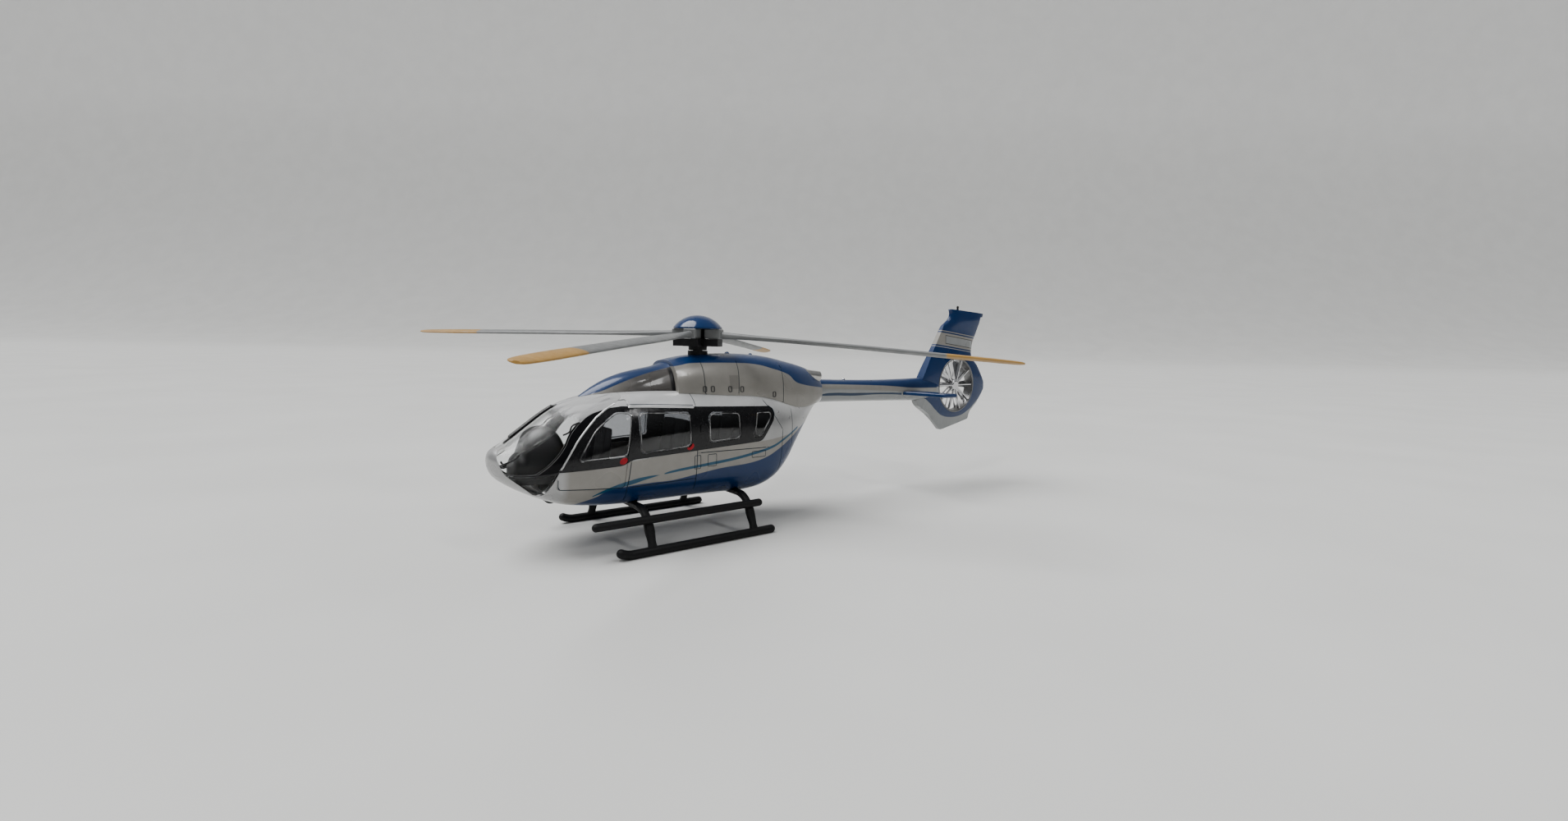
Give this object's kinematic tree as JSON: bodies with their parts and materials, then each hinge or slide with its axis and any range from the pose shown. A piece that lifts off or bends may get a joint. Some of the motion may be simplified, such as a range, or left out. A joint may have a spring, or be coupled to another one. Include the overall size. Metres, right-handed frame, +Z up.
{
  "type": "helicopter scale model",
  "caption": "Scale model of a twin-engined utility helicopter with skids, a shrouded tail fan and a four-blade rotor; both rotors turn.",
  "frame": {"origin": "on the surface that the skids stand on, under the middle of the whole model's box; the rotor mast is 23.3 mm towards the nose from it", "axes": "+Z up along the rotor mast, -Y towards the nose, +Y towards the tail, +X to the model's left (port) side"},
  "size_m": [0.0954, 0.1421, 0.0484],
  "materials": {
    "silver_paint": "metallic silver lacquer over a die-cast shell",
    "cowling_paint": "silver sides and a blue crown",
    "blue_paint": "glossy deep blue lacquer",
    "clear_plastic": "clear polystyrene moulding",
    "tinted_plastic": "smoked clear polystyrene",
    "black_gloss": "gloss black print and plastic",
    "black_plastic": "semi-matt black moulded plastic",
    "blade_plastic": "grey plastic blades with ochre tips",
    "chrome_plating": "vacuum-plated plastic",
    "exhaust_paint": "burnished silver",
    "steel": "plain steel",
    "interior_plastic": "matt black moulded cabin"
  },
  "bodies": {
    "airframe": {"belly_plate": "silver_paint", "belly_screws": "steel", "boom_light": "chrome_plating", "cabin_floor": "interior_plastic", "cabin_shell": "silver_paint", "centre_console": "interior_plastic", "control_sticks": "interior_plastic", "cowling_vents": "black_plastic", "cross_tube_front": "black_plastic", "cross_tube_rear": "black_plastic", "door_handles": "black_gloss", "duct_liner": "chrome_plating", "engine_cowling": "cowling_paint", "exhaust_left": "exhaust_paint", "exhaust_right": "exhaust_paint", "fin_and_shroud": "silver_paint", "fin_beacon": "black_plastic", "front_window_left": "tinted_plastic", "front_window_right": "tinted_plastic", "instrument_panel": "interior_plastic", "intake_screens": "black_plastic", "legs_front": "black_plastic", "legs_rear": "black_plastic", "mast_fairing": "cowling_paint", "mast_socket": "black_plastic", "nose_glazing": "clear_plastic", "passenger_seats_front": "interior_plastic", "passenger_seats_rear": "interior_plastic", "pilot_seat_left": "interior_plastic", "pilot_seat_right": "interior_plastic", "rear_bulkhead": "interior_plastic", "rear_window_left": "tinted_plastic", "rear_window_right": "tinted_plastic", "roof_antennas": "blue_paint", "skid_left": "black_plastic", "skid_right": "black_plastic", "sliding_window_left": "tinted_plastic", "sliding_window_right": "tinted_plastic", "stabiliser_left": "blue_paint", "stabiliser_right": "blue_paint", "step_left": "black_plastic", "step_right": "black_plastic", "tail_boom": "silver_paint", "tail_fan_cap": "chrome_plating", "tail_gearbox": "chrome_plating", "window_surround_left": "black_gloss", "window_surround_right": "black_gloss", "windshield_frame": "black_gloss", "windshield_wipers": "black_gloss", "wire_cutter": "black_plastic"},
    "main_rotor": {"rotor_mast": "black_plastic", "rotor_retainer": "steel", "rotor_hub": "black_plastic", "rotor_cap": "blue_paint", "rotor_blade_1": "blade_plastic", "rotor_blade_2": "blade_plastic", "rotor_blade_3": "blade_plastic", "rotor_blade_4": "blade_plastic"},
    "tail_rotor": {"tail_fan": "chrome_plating"}
  },
  "joints": [
    {"name": "main_rotor_spin", "type": "hinge", "parent": "airframe", "child": "main_rotor", "pos_m": [0, -0.0233, 0.03795], "axis": [0, 0, 1], "continuous": true},
    {"name": "tail_fan_spin", "type": "hinge", "parent": "airframe", "child": "tail_rotor", "pos_m": [-0.00052, 0.058, 0.0268], "axis": [1, 0, 0], "continuous": true}
  ]
}
